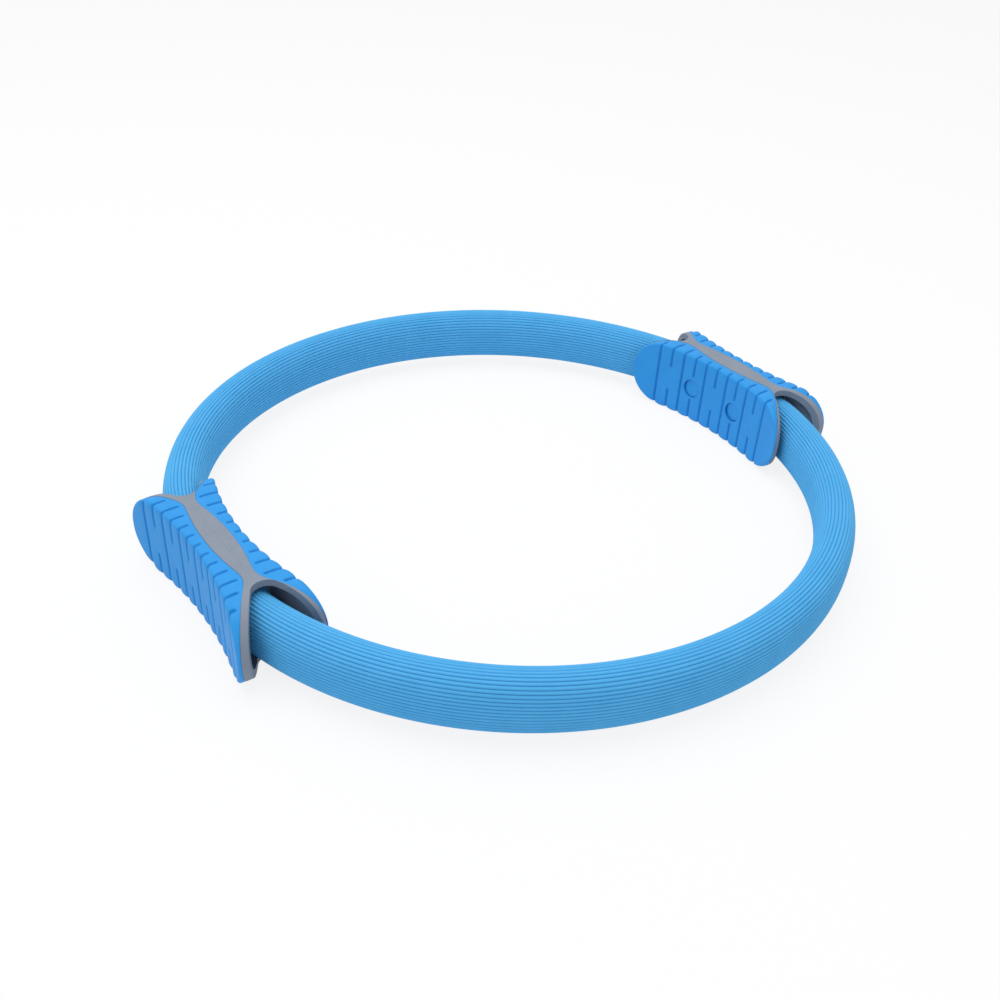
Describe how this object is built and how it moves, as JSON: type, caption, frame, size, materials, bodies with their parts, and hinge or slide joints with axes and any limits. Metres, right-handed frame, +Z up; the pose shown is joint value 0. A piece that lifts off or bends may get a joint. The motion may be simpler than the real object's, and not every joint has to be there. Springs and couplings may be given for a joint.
{
  "type": "pilates ring",
  "caption": "Sprung exercise hoop in fluted foam, with a waisted, rib-padded handle on each side for squeezing between hands or legs.",
  "frame": {"origin": "on the floor under the hoop's centre, with the hoop lying flat on its handles", "axes": "+X through the middles of both handles, +Y across the hoop towards its back half, +Z up along the hoop's axis"},
  "size_m": [0.3902, 0.38, 0.0452],
  "materials": {
    "foam": "matte fluted closed-cell foam",
    "strip_fibreglass": "pultruded fibreglass",
    "grip_plastic": "fine matte moulding",
    "pad_rubber": "matte moulded rubber",
    "plate_steel": "rolled, zinc plated",
    "screw_steel": "zinc plated",
    "insert_brass": "turned"
  },
  "bodies": {
    "left_handle": {"left_outer_shell": "grip_plastic", "left_inner_shell": "grip_plastic", "left_outer_pad": "pad_rubber", "left_inner_pad": "pad_rubber", "left_splice_plate": "plate_steel", "left_clamp_screws": "screw_steel", "left_threaded_inserts": "insert_brass", "left_screw_plugs": "pad_rubber"},
    "right_handle": {"right_outer_shell": "grip_plastic", "right_inner_shell": "grip_plastic", "right_outer_pad": "pad_rubber", "right_inner_pad": "pad_rubber", "right_splice_plate": "plate_steel", "right_clamp_screws": "screw_steel", "right_threaded_inserts": "insert_brass", "right_screw_plugs": "pad_rubber"},
    "front_foam": {"front_sleeve": "foam"},
    "back_foam": {"back_sleeve": "foam"},
    "front_spring": {"front_spring_strip": "strip_fibreglass"},
    "back_spring": {"back_spring_strip": "strip_fibreglass"}
  },
  "joints": [
    {"name": "squeeze", "type": "slide", "parent": "left_handle", "child": "right_handle", "axis": [-1, 0, 0], "range_m": [-0.03, 0.07], "stiffness_N_per_m": 1500},
    {"name": "front_foam_bow", "type": "slide", "parent": "left_handle", "child": "front_foam", "axis": [-0.7359, -0.6771, 0], "range_m": [-0.02058, 0.04776], "deforming": ["front_sleeve"]},
    {"name": "back_foam_bow", "type": "slide", "parent": "left_handle", "child": "back_foam", "axis": [-0.7359, 0.6771, 0], "range_m": [-0.02058, 0.04776], "deforming": ["back_sleeve"]},
    {"name": "front_spring_bow", "type": "slide", "parent": "right_handle", "child": "front_spring", "axis": [0.7359, -0.6771, 0], "range_m": [-0.02058, 0.04776], "deforming": ["front_spring_strip"]},
    {"name": "back_spring_bow", "type": "slide", "parent": "right_handle", "child": "back_spring", "axis": [0.7359, 0.6771, 0], "range_m": [-0.02058, 0.04776], "deforming": ["back_spring_strip"]}
  ],
  "couplings": [
    {"joint": "front_foam_bow", "follows": "squeeze", "ratio": 0.67941},
    {"joint": "back_foam_bow", "follows": "squeeze", "ratio": 0.67941},
    {"joint": "front_spring_bow", "follows": "squeeze", "ratio": 0.67941},
    {"joint": "back_spring_bow", "follows": "squeeze", "ratio": 0.67941}
  ]
}
